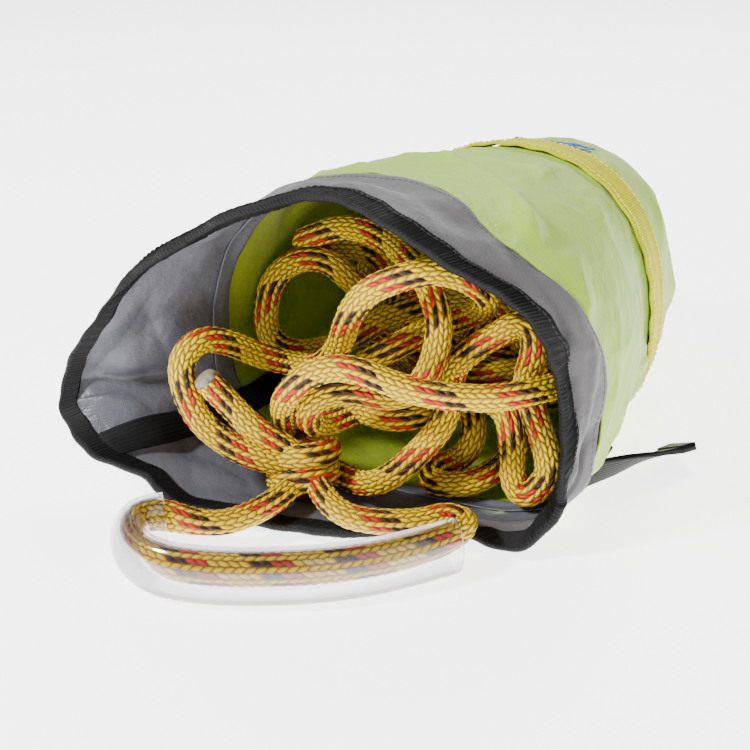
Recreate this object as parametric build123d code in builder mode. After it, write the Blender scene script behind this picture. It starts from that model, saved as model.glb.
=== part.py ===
"""Throw rope bag, lying on its side with its mouth open and the rope spilling forward.

Row frame in millimetres: +Y runs along the bag from the mouth to the base, +Z is up, and the
origin is the middle of the flat underside that the bag rests on.
"""
import os
from collections import namedtuple
from math import cos, pi, radians, sin, tan

from build123d import *

# ---- driving dimensions -------------------------------------------------------------------
CLOTH = 2.6              # wall left for each cloth shell
GAP = 0.3                # air between pieces that do not touch
ROPE_D = 10.0            # braided floating rope
ROPE_TOTAL = 10000.0     # all of the rope: in the bag, the knot, the tail and the hand loop

BINDING_W = 9.0          # tape folded round the rim
WEB_T = 1.6              # webbing thickness
BAND_FRONT_Y = 40.0      # yellow band, from here
BAND_BACK_Y = 64.0       # to here
BAND_T = 1.6
BASE_Y = 122.0           # flat end of the base section
BASE_DISC_T = 2.0
THREAD = 0.7             # stitched line, seen as one raised thread
ROW_IN = 2.5             # a stitched row's distance from the edge of its webbing

COIL_FRONT_Y = 3.0       # reserve rope, stuffed as one coil
COIL_BACK_Y = 88.0
COIL_INSET = 8.0
FLOAT_FRONT_Y = 90.0     # closed-cell foam that keeps the bag afloat
FLOAT_BACK_Y = 106.0
FLOAT_HOLE_R = 14.0
AXIS_Z = 57.0            # height of the anchor on the base

STRAP_W = 22.0
KNOT_AT = (-27.0, -91.0, 18.7)
KNOT_R = 13.3
KNOT_HALF = 16.0
LOOP_AXIS = (0.7071068, 0.7071068, 0.0)      # the hand loop lifts about this line
SLEEVE_H = 24.4          # clear hose, pressed oval, standing on its edge
SLEEVE_W = 15.0
SLEEVE_WALL = 1.5

# ---- the bag's outer shape ------------------------------------------------------------------
# Each station is an egg-shaped ring: half width a, height h, widest at belly, resting at low.
# Its plane is turned by yaw about +Z and leans back by lean.
Station = namedtuple("Station", "y cx a h belly low yaw lean right left")
STATIONS = [
    Station(-109.3, -26.0, 105.0, 142.5, 46.0, 0.3, 17.7, 4.7, 4.2, 2.2),   # rim of the mouth
    Station(-88.0, -13.0, 97.0, 143.0, 52.0, 0.3, 14.0, 3.0, 3.9, 2.4),
    Station(-60.0, -2.0, 88.0, 142.0, 58.0, 0.3, 8.0, 1.0, 3.4, 2.6),       # collar seam
    Station(-14.0, -4.0, 86.0, 140.0, 58.0, -1.6, 3.0, 0.0, 3.0, 2.8),
    Station(26.0, -2.0, 74.0, 134.0, 52.0, 0.2, 0.5, 0.0, 2.8, 2.8),
    Station(52.0, -1.0, 66.5, 129.0, 50.0, 2.2, 0.0, 0.0, 2.8, 2.8),        # yellow band
    Station(84.0, -3.0, 63.0, 125.0, 50.0, 1.4, 0.0, 0.0, 2.8, 2.8),
    Station(108.0, -5.0, 57.0, 119.0, 50.0, -0.6, 0.0, 0.0, 2.7, 2.7),
    Station(BASE_Y, -5.0, 44.0, 104.0, 52.0, 12.0, 0.0, 0.0, 2.4, 2.4),
]
RIM, SEAM = STATIONS[0], STATIONS[2]
TOP_POWER = 2.3          # how square the upper half of a ring is
RING_POINTS = 20


def ring_plane(station, back=0.0):
    """The plane of a ring, its normal towards the mouth, moved back into the bag."""
    plane = Plane(
        origin=(station.cx, station.y, 0),
        x_dir=(cos(radians(station.yaw)), sin(radians(station.yaw)), 0),
        z_dir=(sin(radians(station.yaw)), -cos(radians(station.yaw)), 0),
    )
    return plane.rotated((-station.lean, 0, 0)).offset(-back)


def ring_points(station, inset):
    """Points round an egg-shaped ring, moved inwards by inset."""
    points = []
    for step in range(RING_POINTS):
        turn = 2 * pi * (step + 0.5) / RING_POINTS
        across, up = cos(turn), sin(turn)
        if up > 0:
            power = TOP_POWER
            rise = station.h - inset - station.belly
        else:
            power = station.right if across > 0 else station.left
            rise = station.belly - station.low - inset
        reach = (abs(across) ** power + abs(up) ** power) ** (-1 / power)
        points.append(((station.a - inset) * across * reach, station.belly + rise * up * reach))
    return points


def ring_face(station, inset):
    """The face that fills one ring."""
    with BuildSketch(ring_plane(station), mode=Mode.PRIVATE) as ring:
        with BuildLine():
            Spline(*ring_points(station, inset), periodic=True)
        make_face()
    return ring.sketch.faces()[0]


def bag_form(inset, mode=Mode.ADD):
    """The whole bag as one closed form, inset from its outer face."""
    loft([ring_face(station, inset) for station in STATIONS], mode=mode)


def bag_skin(outer, inner, front=None, back=None):
    """A layer of the bag between two insets, from the front plane to the back plane."""
    bag_form(outer)
    bag_form(inner, Mode.SUBTRACT)
    trim(front, back)


def trim(front=None, back=None):
    """Keep what lies behind the front plane, in front of the back plane and above the floor."""
    if front is not None:
        split(bisect_by=front, keep=Keep.BOTTOM)
    if back is not None:
        split(bisect_by=back, keep=Keep.TOP)
    split(bisect_by=Plane.XY, keep=Keep.TOP)


def cross_plane(y):
    """An upright plane across the bag at y, its normal towards the mouth."""
    return Plane(origin=(0, y, 0), x_dir=(1, 0, 0), z_dir=(0, -1, 0))


def finish(builder, name):
    """Label a finished piece and write it."""
    builder.part.label = name
    export_step(builder.part, "parts/" + name + ".step")


# ---- cord tools -----------------------------------------------------------------------------
def corner_radii(points):
    """An arc at each corner as large as its two runs allow."""
    radii = []
    for before, here, after in zip(points, points[1:], points[2:]):
        first, second = Vector(*here) - Vector(*before), Vector(*after) - Vector(*here)
        turn = radians(first.get_angle(second))
        radii.append(0.45 * min(first.length, second.length) / tan(turn / 2))
    return radii


def cord_tube(points, diameter):
    """A round tube along straight runs joined by tangent arcs; returns its route's length."""
    with BuildLine(mode=Mode.PRIVATE) as route:
        FilletPolyline(*points, radius=corner_radii(points))
    path = route.wires()[0]
    with BuildSketch(Plane(origin=path @ 0, z_dir=path % 0), mode=Mode.PRIVATE) as section:
        Circle(diameter / 2)
    sweep(section.sketch, path=path)
    return path.length


def report_cord(name, builder, points, length, diameter):
    section = pi * diameter ** 2 / 4
    print(name, "length %.0f" % length, "volume %.0f" % builder.part.volume,
          "section x length %.0f" % (section * length))
    print("  radii", [round(radius, 1) for radius in corner_radii(points)])


os.makedirs("parts", exist_ok=True)
seam_plane = ring_plane(SEAM)
band_middle_y = (BAND_FRONT_Y + BAND_BACK_Y) / 2

# ---- cloth shells ---------------------------------------------------------------------------
with BuildPart() as collar:
    bag_skin(1.0, 1.0 + CLOTH, ring_plane(RIM, BINDING_W + GAP), ring_plane(SEAM, -GAP))
finish(collar, "collar")

with BuildPart() as rim_binding:
    bag_skin(0.0, 1.0 + CLOTH + 1.0, None, ring_plane(RIM, BINDING_W))
finish(rim_binding, "rim_binding")

with BuildPart() as body_panel:
    bag_skin(1.0, 1.0 + CLOTH, seam_plane, cross_plane(band_middle_y))
finish(body_panel, "body_panel")

with BuildPart() as base_cuff:
    bag_skin(1.0, 1.0 + CLOTH, cross_plane(band_middle_y + GAP), None)
finish(base_cuff, "base_cuff")

with BuildPart() as base_disc:
    extrude(ring_face(STATIONS[-1], 1.0 + CLOTH + GAP), amount=BASE_DISC_T)
finish(base_disc, "base_disc")

with BuildPart() as yellow_band:
    bag_skin(1.0 - GAP - BAND_T, 1.0 - GAP, cross_plane(BAND_FRONT_Y), cross_plane(BAND_BACK_Y))
finish(yellow_band, "yellow_band")

# ---- stitched lines, each a raised thread on its cloth ----------------------------------------
band_face = 1.0 - GAP - BAND_T
with BuildPart() as band_stitching:
    bag_skin(band_face - GAP - THREAD, band_face - GAP,
             cross_plane(BAND_FRONT_Y + ROW_IN), cross_plane(BAND_BACK_Y - ROW_IN))
    with Locations((0, band_middle_y, 0)):
        Box(400, BAND_BACK_Y - BAND_FRONT_Y - 2 * (ROW_IN + THREAD), 400, mode=Mode.SUBTRACT)
finish(band_stitching, "band_stitching")

with BuildPart() as collar_seam_stitching:
    bag_skin(1.0 - GAP - THREAD, 1.0 - GAP, ring_plane(SEAM, 3.0), ring_plane(SEAM, 3.0 + THREAD))
finish(collar_seam_stitching, "collar_seam_stitching")

with BuildPart() as rim_stitching:
    bag_skin(-GAP - THREAD, -GAP, ring_plane(RIM, BINDING_W - 2.5), ring_plane(RIM, BINDING_W - 1.8))
finish(rim_stitching, "rim_stitching")

# ---- inside the bag ---------------------------------------------------------------------------
lining = 1.0 + CLOTH
with BuildPart() as seam_tape:
    bag_skin(lining + GAP, lining + GAP + 0.8, ring_plane(SEAM, -7.0), ring_plane(SEAM, 7.0))
finish(seam_tape, "seam_tape")

with BuildPart() as inner_strap:
    bag_skin(lining + 2.2, lining + 2.2 + WEB_T, ring_plane(RIM, BINDING_W + 2.0), cross_plane(-8.0))
    with Locations(Location((-84, -70, 22), (0, 38, 0))):
        Box(60, 160, STRAP_W, mode=Mode.INTERSECT)
finish(inner_strap, "inner_strap")

with BuildPart() as foam_float:
    bag_form(lining + 1.2)
    trim(cross_plane(FLOAT_FRONT_Y), cross_plane(FLOAT_BACK_Y))
    with Locations(Location((STATIONS[-1].cx, FLOAT_FRONT_Y, AXIS_Z), (90, 0, 0))):
        Cylinder(FLOAT_HOLE_R, 60, mode=Mode.SUBTRACT)
finish(foam_float, "foam_float")

with BuildPart() as anchor_tab:
    with BuildSketch(Plane(origin=(STATIONS[-1].cx, 0, AXIS_Z), z_dir=(1, 0, 0), x_dir=(0, 1, 0))):
        with BuildLine():
            Polyline((BASE_Y - BASE_DISC_T - 5, 8), (BASE_Y - 0.6 - BASE_DISC_T, 8),
                     (BASE_Y - 0.6 - BASE_DISC_T, -8), (BASE_Y - BASE_DISC_T - 5, -8), close=True)
        make_face()
    extrude(amount=10, both=True)
finish(anchor_tab, "anchor_tab")

with BuildPart() as rope_coil:
    bag_form(COIL_INSET)
    trim(cross_plane(COIL_FRONT_Y), cross_plane(COIL_BACK_Y))
finish(rope_coil, "rope_coil")

# ---- rope: the loose stretch from the knot, through the heap, to the coil ------------------------
ROPE_ROUTE = [
    # the big loop at the left, and back behind the heap
    (-37, -105, 26), (-49, -111, 31), (-62, -115, 40), (-69, -116, 53), (-73, -113, 65),
    (-72, -102, 71), (-69, -88, 65), (-64, -75, 55), (-56, -64, 49), (-39, -64, 51),
    # up and over the top of the heap, then under the rim and back
    (-23, -71, 68), (-15, -78, 85), (-6, -78, 98), (6, -74, 105), (17, -65, 108), (25, -54, 103),
    (29, -43, 93), (23, -34, 82), (9, -33, 74), (2, -47, 72), (-3, -61, 69), (-14, -64, 62),
    (-26, -61, 50), (-32, -49, 35), (-22, -36, 31), (-6, -29, 37), (11, -29, 37), (22, -36, 31),
    # a low curl on the floor of the bag
    (24, -43, 22), (17, -44, 14), (11, -52, 13), (14, -60, 11), (25, -59, 12), (35, -52, 15),
    (40, -40, 20), (43, -28, 25), (38, -17, 34), (33, -9, 47), (27, -6, 62), (18, -8, 75),
    (4, -13, 78), (-8, -19, 74), (-19, -28, 70), (-29, -35, 65), (-38, -42, 57),
    # the round loop against the left wall
    (-51, -48, 50), (-65, -54, 48), (-75, -55, 55), (-77, -53, 67), (-76, -48, 79),
    (-69, -40, 87), (-55, -35, 88), (-47, -31, 79), (-43, -19, 68), (-38, -9, 76),
    (-49, -8, 85), (-62, -16, 87), (-71, -26, 86), (-71, -33, 93), (-64, -34, 97),
    (-52, -29, 102), (-37, -27, 102), (-20, -32, 99),
    # down the middle, and the two short loops above the knot
    (2, -48, 97), (14, -57, 89), (18, -62, 77), (17, -67, 65), (10, -69, 55), (2, -77, 54),
    (-8, -86, 59), (-18, -92, 56), (-24, -94, 48), (-27, -86, 36), (-24, -71, 34),
    (-18, -65, 38), (-4, -66, 38), (10, -62, 41), (16, -45, 44), (29, -39, 46),
    # the long narrow loop at the right
    (42, -45, 44), (46, -49, 33), (49, -54, 24), (53, -56, 17.5), (59, -56.5, 18), (63.5, -54, 24.5),
    (65, -53, 30), (62, -52, 40), (54, -49, 52), (49, -47, 63), (52, -46, 75), (50, -44, 84),
    (43, -44, 85), (36, -46, 79), (26, -49, 71), (18, -51, 61), (21, -56, 52), (23, -65, 43),
    (18, -72, 34), (10, -79, 23), (-2, -82, 14), (-19, -77, 11), (-34, -74, 12),
    # the arch over the knot, and back into the bag
    (-43, -81, 25), (-35, -96, 47), (-25, -103, 61), (-16, -98, 70), (-3, -93, 73),
    (14, -89, 68), (31, -82, 65), (47, -71, 64), (57, -61, 65), (61, -44, 62), (53, -27, 58),
    (38, -19, 54), (27, -22, 50), (16, -26, 46), (6, -20, 46), (0, -8, 48), (0, 3, 50),
]
with BuildPart() as rope_line:
    route_length = cord_tube(ROPE_ROUTE, ROPE_D)
report_cord("rope_line", rope_line, ROPE_ROUTE, route_length, ROPE_D)
finish(rope_line, "rope_line")

knot_plane = Plane(origin=KNOT_AT, x_dir=LOOP_AXIS, z_dir=(0.7071068, -0.7071068, 0))
with BuildPart() as knot:
    with BuildSketch(knot_plane):
        with BuildLine():
            Polyline((-KNOT_HALF, 0), (-KNOT_HALF, 8), (-11, KNOT_R), (11, KNOT_R),
                     (KNOT_HALF, 8), (KNOT_HALF, 0), close=True)
        make_face()
    revolve(axis=Axis(KNOT_AT, LOOP_AXIS))
    fillet(knot.edges().filter_by(GeomType.CIRCLE).sort_by(Axis(KNOT_AT, LOOP_AXIS))[1:-1], 3)
finish(knot, "knot")

TAIL_ROUTE = [(-30, -98.5, 32.5), (-43, -105, 39), (-54, -107.5, 49.5), (-60, -112, 59)]
with BuildPart() as rope_tail:
    tail_length = cord_tube(TAIL_ROUTE, ROPE_D)
report_cord("rope_tail", rope_tail, TAIL_ROUTE, tail_length, ROPE_D)
finish(rope_tail, "rope_tail")

tail_end = Vector(*TAIL_ROUTE[-1])
tail_way = (tail_end - Vector(*TAIL_ROUTE[-2])).normalized()
with BuildPart() as tail_whipping:
    with BuildSketch(Plane(origin=tail_end, z_dir=tail_way)):
        Circle(ROPE_D / 2 - 0.3)
    extrude(amount=3)
    fillet(tail_whipping.faces().sort_by(Axis(tail_end, tail_way))[-1].edges(), 2)
finish(tail_whipping, "tail_whipping")

with BuildPart() as anchor_knot:
    with BuildSketch(Plane(origin=(STATIONS[-1].cx, COIL_BACK_Y, AXIS_Z), x_dir=(0, 1, 0), z_dir=(1, 0, 0))):
        with BuildLine():
            Polyline((0, 0), (0, 5), (4, 10), (14, 10), (19, 5), (26.8, 5), (26.8, 0), close=True)
        make_face()
    revolve(axis=Axis((STATIONS[-1].cx, COIL_BACK_Y, AXIS_Z), (0, 1, 0)))
finish(anchor_knot, "anchor_knot")

# ---- hand loop: rope from the knot and back to it, through the clear hose --------------------------
LOOP_ROUTE = [
    (-23.2, -107.5, 18.7), (-17.5, -113.2, 18), (-20, -123, 14.5), (-32, -135, 13), (-44, -141.5, 12.5),
    (-56, -145.5, 12.5), (-62, -152, 12.5), (-60, -162, 12.5), (-50, -169.5, 12.5), (-34, -171.5, 12.5),
    (-13, -162.5, 12.5), (11, -145.5, 12.5), (27, -130, 12.5), (40, -111.5, 12.5), (48, -98, 12.5),
    (49, -87, 15), (38, -85, 17), (31, -95, 16), (20, -101, 15), (10, -105.5, 15), (0, -107.5, 16),
    (-5.4, -102.7, 18.2), (-11.9, -96.2, 18.7),
]
with BuildPart() as hand_loop_rope:
    loop_length = cord_tube(LOOP_ROUTE, ROPE_D)
report_cord("hand_loop_rope", hand_loop_rope, LOOP_ROUTE, loop_length, ROPE_D)
print("rope left for the coil and the knot %.0f"
      % (ROPE_TOTAL - route_length - tail_length - loop_length))
finish(hand_loop_rope, "hand_loop_rope")

SLEEVE_ROUTE = LOOP_ROUTE[5:15]
with BuildLine() as sleeve_route:
    FilletPolyline(*SLEEVE_ROUTE, radius=corner_radii(SLEEVE_ROUTE))
sleeve_path = sleeve_route.wires()[0]
sleeve_plane = Plane(origin=sleeve_path @ 0, x_dir=(0, 0, 1), z_dir=sleeve_path % 0)
with BuildPart() as grip_sleeve:
    with BuildSketch(sleeve_plane):
        Ellipse(SLEEVE_H / 2, SLEEVE_W / 2)
        Ellipse(SLEEVE_H / 2 - SLEEVE_WALL, SLEEVE_W / 2 - SLEEVE_WALL, mode=Mode.SUBTRACT)
    sweep(path=sleeve_path)
finish(grip_sleeve, "grip_sleeve")

# ---- straps and small sewn pieces ------------------------------------------------------------------
TAIL_ROOT = (74.0, -14.0)
TAIL_TURN = 64.5                 # direction of the loose strap, seen from above, degrees from +X
TAIL_LENGTH = 64.0
tail_plane = Plane(origin=(TAIL_ROOT[0], TAIL_ROOT[1], 0.4),
                   x_dir=(cos(radians(TAIL_TURN)), sin(radians(TAIL_TURN)), 0), z_dir=(0, 0, 1))
with BuildPart() as tail_strap:
    with BuildSketch(tail_plane):
        with Locations((TAIL_LENGTH / 2, 0)):
            Rectangle(TAIL_LENGTH, WEB_T + 0.8)
    extrude(amount=STRAP_W * 0.75)
    fillet(tail_strap.edges().filter_by(Axis.Z), 0.6)
finish(tail_strap, "tail_strap")

with BuildPart() as tail_hem:
    with BuildSketch(tail_plane):
        for side in (-1, 1):
            with Locations((TAIL_LENGTH - 6, side * (WEB_T / 2 + 0.4 + 0.8))):
                Rectangle(11, 1.4)
    extrude(amount=STRAP_W * 0.75)
finish(tail_hem, "tail_hem")

with BuildPart() as strap_anchor:
    bag_skin(1.0 - GAP - WEB_T, 1.0 - GAP, cross_plane(-31), cross_plane(-17))
    with Locations((72, -24, 12)):
        Box(30, 20, 18, mode=Mode.INTERSECT)
finish(strap_anchor, "strap_anchor")

with BuildPart() as binding_lap:
    bag_skin(-GAP - 1.2, -GAP, ring_plane(RIM, 0.6), ring_plane(RIM, BINDING_W - 3.0))
    with Locations((-60, -118, 130)):
        Box(16, 60, 60, mode=Mode.INTERSECT)
finish(binding_lap, "binding_lap")

with BuildPart() as print_patch:
    bag_skin(1.0 - GAP - 0.5, 1.0 - GAP, cross_plane(BAND_BACK_Y + 5), cross_plane(BAND_BACK_Y + 24))
    with Locations((-8, 80, 120)):
        Box(64, 60, 60, mode=Mode.INTERSECT)
finish(print_patch, "print_patch")
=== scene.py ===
"""Looks for the throw rope bag. Row frame in metres: +Y from the mouth to the base, +Z up."""
import math

import bmesh
import bpy
import numpy as np
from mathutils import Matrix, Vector


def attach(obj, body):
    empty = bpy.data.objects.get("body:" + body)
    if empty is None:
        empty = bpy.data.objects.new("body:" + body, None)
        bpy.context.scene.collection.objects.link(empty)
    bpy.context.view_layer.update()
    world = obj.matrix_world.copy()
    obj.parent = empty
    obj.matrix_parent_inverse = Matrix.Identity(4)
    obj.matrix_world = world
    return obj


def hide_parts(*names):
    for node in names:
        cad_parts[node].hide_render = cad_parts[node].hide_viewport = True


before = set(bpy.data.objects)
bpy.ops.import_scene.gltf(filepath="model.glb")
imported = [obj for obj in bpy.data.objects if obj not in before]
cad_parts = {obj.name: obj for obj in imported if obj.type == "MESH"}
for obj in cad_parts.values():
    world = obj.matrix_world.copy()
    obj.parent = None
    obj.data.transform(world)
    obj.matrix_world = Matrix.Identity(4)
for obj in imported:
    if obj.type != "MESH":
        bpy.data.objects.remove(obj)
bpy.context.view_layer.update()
MM = 0.001

# ---- camera ----
camera_data = bpy.data.cameras.new("camera")
camera_data.lens = 55.73
camera_data.sensor_width = 36.0
camera = bpy.data.objects.new("camera", camera_data)
camera.location = (0.2295, -0.4204, 0.2652)
camera.rotation_euler = (math.radians(64), 0, math.radians(34))
bpy.context.scene.collection.objects.link(camera)
bpy.context.scene.camera = camera

# ---- the bag's outer shape, as in the part's source ----
# y, cx, half width, height, belly, low, yaw, lean, right power, left power
STATIONS = np.array([
    (-109.3, -26.0, 105.0, 142.5, 46.0, 0.3, 17.7, 4.7, 4.2, 2.2),
    (-88.0, -13.0, 97.0, 143.0, 52.0, 0.3, 14.0, 3.0, 3.9, 2.4),
    (-60.0, -2.0, 88.0, 142.0, 58.0, 0.3, 8.0, 1.0, 3.4, 2.6),
    (-14.0, -4.0, 86.0, 140.0, 58.0, -1.6, 3.0, 0.0, 3.0, 2.8),
    (26.0, -2.0, 74.0, 134.0, 52.0, 0.2, 0.5, 0.0, 2.8, 2.8),
    (52.0, -1.0, 66.5, 129.0, 50.0, 2.2, 0.0, 0.0, 2.8, 2.8),
    (84.0, -3.0, 63.0, 125.0, 50.0, 1.4, 0.0, 0.0, 2.8, 2.8),
    (108.0, -5.0, 57.0, 119.0, 50.0, -0.6, 0.0, 0.0, 2.7, 2.7),
    (122.0, -5.0, 44.0, 104.0, 52.0, 12.0, 0.0, 0.0, 2.4, 2.4),
])
TOP_POWER = 2.3
SEAM_W = 2.0             # station number of the collar seam


def stations_at(w):
    """Station values at fractional station numbers w."""
    w = np.clip(np.asarray(w, float), 0, len(STATIONS) - 1)
    i = np.minimum(w.astype(int), len(STATIONS) - 2)
    t = (w - i)[..., None]
    last = len(STATIONS) - 1
    p0, p1 = STATIONS[np.maximum(i - 1, 0)], STATIONS[i]
    p2, p3 = STATIONS[i + 1], STATIONS[np.minimum(i + 2, last)]
    return 0.5 * (2 * p1 + (p2 - p0) * t + (2 * p0 - 5 * p1 + 4 * p2 - p3) * t ** 2
                  + (3 * p1 - p0 - 3 * p2 + p3) * t ** 3)


def w_at_y(y):
    """The station number where the bag's y is this."""
    grid = np.linspace(0, len(STATIONS) - 1, 801)
    return np.interp(y, stations_at(grid)[:, 0], grid)


def ring(w, turn, inset=0.0):
    """Points on the bag in mm at station numbers w and angles turn, moved inwards by inset."""
    w, turn = np.broadcast_arrays(np.asarray(w, float), np.asarray(turn, float))
    y, cx, a, h, belly, low, yaw, lean, right, left = np.moveaxis(stations_at(w), -1, 0)
    across, up = np.cos(turn), np.sin(turn)
    power = np.where(up > 0, TOP_POWER, np.where(across > 0, right, left))
    rise = np.where(up > 0, h - inset - belly, belly - low - inset)
    reach = (np.abs(across) ** power + np.abs(up) ** power) ** (-1 / power)
    flat_x = (a - inset) * across * reach
    flat_z = belly + rise * up * reach
    yaw, lean = np.radians(yaw), np.radians(lean)
    tilted_y = flat_z * np.sin(lean)
    x = cx + flat_x * np.cos(yaw) - tilted_y * np.sin(yaw)
    return np.stack([x, y + flat_x * np.sin(yaw) + tilted_y * np.cos(yaw), flat_z * np.cos(lean)], -1)


# ---- mesh tools ----
def unit(values):
    """The same directions at length one."""
    return values / np.maximum(np.linalg.norm(values, axis=-1, keepdims=True), 1e-9)


def new_object(name, mesh, *materials):
    piece = bpy.data.objects.new(name, mesh)
    bpy.context.scene.collection.objects.link(piece)
    for material in materials:
        mesh.materials.append(material)
    return piece


def grid_object(name, points, uv, material, wrap_rows=False, wrap_cols=False, caps=False,
                row_slots=None, smooth=True):
    """A quad grid in metres from points (rows, cols, 3) in mm. uv is (rows + 1, cols + 1, 2)."""
    rows, cols = points.shape[:2]
    row_count = rows if wrap_rows else rows - 1
    col_count = cols if wrap_cols else cols - 1
    r, c = np.meshgrid(np.arange(row_count), np.arange(col_count), indexing="ij")
    r, c = r.ravel(), c.ravel()
    r2, c2 = (r + 1) % rows, (c + 1) % cols
    faces = np.stack([r * cols + c, r * cols + c2, r2 * cols + c2, r2 * cols + c], -1)
    materials = material if isinstance(material, (list, tuple)) else [material]
    mesh = bpy.data.meshes.new(name)
    loops = faces.ravel()
    cap_loops = []
    if caps:
        cap_loops = [list(range(cols))[::-1], list(range((rows - 1) * cols, rows * cols))]
    total = np.concatenate([loops] + [np.array(x) for x in cap_loops]) if cap_loops else loops
    starts = list(range(0, len(loops), 4))
    totals = [4] * len(starts)
    for cap in cap_loops:
        starts.append(starts[-1] + totals[-1])
        totals.append(len(cap))
    mesh.vertices.add(rows * cols)
    mesh.vertices.foreach_set("co", (points.reshape(-1) * MM).astype(np.float32))
    mesh.loops.add(len(total))
    mesh.loops.foreach_set("vertex_index", total.astype(np.int32))
    mesh.polygons.add(len(starts))
    mesh.polygons.foreach_set("loop_start", np.array(starts, np.int32))
    mesh.polygons.foreach_set("use_smooth", np.full(len(starts), smooth))
    if uv is not None:
        quad = np.stack([uv[r, c], uv[r, c + 1], uv[r + 1, c + 1], uv[r + 1, c]], 1)
        flat = np.zeros((len(total), 2))
        flat[:len(loops)] = quad.reshape(-1, 2)
        layer = mesh.uv_layers.new(name="UVMap")
        layer.data.foreach_set("uv", flat.ravel().astype(np.float32))
    mesh.update(calc_edges=True)
    piece = new_object(name, mesh, *materials)
    if row_slots is not None:
        slots = np.zeros(len(starts), np.int32)
        slots[:len(r)] = np.asarray(row_slots)[r]
        mesh.polygons.foreach_set("material_index", slots)
    mesh.validate()
    return piece


def grid_uv(rows, cols, row_values, col_values):
    uv = np.zeros((rows + 1, cols + 1, 2))
    uv[..., 0] = np.asarray(col_values)[None, :]
    uv[..., 1] = np.asarray(row_values)[:, None]
    return uv


def normals_of(points, wrap_cols=True):
    """Unit normals of a grid, outwards for a ring grid."""
    along = np.gradient(points, axis=0)
    if wrap_cols:
        around = (np.roll(points, -1, 1) - np.roll(points, 1, 1)) / 2
    else:
        around = np.gradient(points, axis=1)
    return unit(np.cross(along, around))


def shell(name, middle, normal, thickness, materials, width, length, wrap_cols=True):
    """A closed cloth layer: outer rows, then inner rows, joined at both edges."""
    rows, cols = middle.shape[:2]
    points = np.concatenate([middle + normal * thickness / 2, (middle - normal * thickness / 2)[::-1]])
    down = np.linspace(0, length, rows)
    row_values = np.concatenate([down, down[::-1], [0]]) * MM
    col_values = np.linspace(0, width, cols + 1) * MM
    uv = grid_uv(2 * rows, cols, row_values, col_values)
    slots = [0] * (rows - 1) + [1 if len(materials) > 1 else 0] * (rows + 1)
    piece = grid_object(name, points, uv, materials, True, wrap_cols, False, slots)
    if not wrap_cols:
        close_sides(piece)
    return piece


def close_sides(piece):
    """Close the two cut sides of a layer that doesn't run all the way round."""
    work = bmesh.new()
    work.from_mesh(piece.data)
    bmesh.ops.holes_fill(work, edges=[e for e in work.edges if e.is_boundary], sides=0)
    work.to_mesh(piece.data)
    work.free()


# ---- materials ----
class Nodes:
    """Short hands for building one material's nodes."""

    def __init__(self, name):
        self.material = bpy.data.materials.new(name)
        self.material.use_nodes = True
        self.tree = self.material.node_tree
        self.bsdf = self.tree.nodes["Principled BSDF"]
        self.out = self.tree.nodes["Material Output"]

    def add(self, kind, **values):
        node = self.tree.nodes.new(kind)
        for key, value in values.items():
            setattr(node, key, value)
        return node

    def plug(self, value, socket):
        if isinstance(value, bpy.types.NodeSocket):
            self.tree.links.new(value, socket)
        else:
            socket.default_value = value

    def math(self, operation, *values):
        node = self.add("ShaderNodeMath", operation=operation)
        for value, socket in zip(values, node.inputs):
            self.plug(value, socket)
        return node.outputs[0]

    def mix(self, factor, first, second):
        node = self.add("ShaderNodeMix", data_type="RGBA")
        self.plug(factor, node.inputs[0])
        self.plug(first, node.inputs[6])
        self.plug(second, node.inputs[7])
        return node.outputs[2]

    def uv(self):
        split = self.add("ShaderNodeSeparateXYZ")
        self.plug(self.add("ShaderNodeUVMap").outputs[0], split.inputs[0])
        return split.outputs[0], split.outputs[1]

    def noise(self, scale, detail=3.0, vector=None):
        node = self.add("ShaderNodeTexNoise")
        node.inputs["Scale"].default_value = scale
        node.inputs["Detail"].default_value = detail
        if vector is None:
            vector = self.add("ShaderNodeTexCoord").outputs["Object"]
        self.plug(vector, node.inputs["Vector"])
        return node.outputs[0]

    def bump(self, height, distance, strength=1.0):
        node = self.add("ShaderNodeBump")
        node.inputs["Distance"].default_value = distance
        node.inputs["Strength"].default_value = strength
        self.plug(height, node.inputs["Height"])
        self.plug(node.outputs[0], self.bsdf.inputs["Normal"])
        return node.outputs[0]

    def set(self, **values):
        for key, value in values.items():
            self.plug(value, self.bsdf.inputs[key.replace("_", " ")])


def fade(color, factor):
    return tuple(min(c * factor, 1.0) for c in color[:3]) + (1.0,)


def cloth_material(name, dark, bright, thread, glow, roughness=0.7, sheen=0.2, blotch=25.0):
    """Woven cloth: fine twill lines, soft blotches and light that comes through."""
    n = Nodes(name)
    u, v = n.uv()
    warp = n.math("SINE", n.math("MULTIPLY", n.math("ADD", u, v), 2 * math.pi / thread))
    weft = n.math("SINE", n.math("MULTIPLY", v, 2 * math.pi / (thread * 0.8)))
    weave = n.math("MULTIPLY_ADD", n.math("MULTIPLY", warp, weft), 0.25, 0.5)
    soft = n.noise(blotch, 4.0)
    amount = n.math("ADD", n.math("MULTIPLY", weave, 0.45), n.math("MULTIPLY", soft, 0.55))
    color = n.mix(amount, dark, bright)
    n.set(Base_Color=color, Roughness=roughness, Sheen_Weight=sheen)
    crinkle = n.math("MULTIPLY", n.noise(140.0, 3.0), 14.0)
    normal = n.bump(n.math("ADD", n.math("ADD", weave, n.noise(2500.0, 2.0)), crinkle), 0.00012, 0.6)
    if glow > 0:
        through = n.add("ShaderNodeBsdfTranslucent")
        n.plug(color, through.inputs["Color"])
        n.plug(normal, through.inputs["Normal"])
        blend = n.add("ShaderNodeMixShader")
        blend.inputs[0].default_value = glow
        n.plug(n.bsdf.outputs[0], blend.inputs[1])
        n.plug(through.outputs[0], blend.inputs[2])
        n.plug(blend.outputs[0], n.out.inputs["Surface"])
    return n.material


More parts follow.
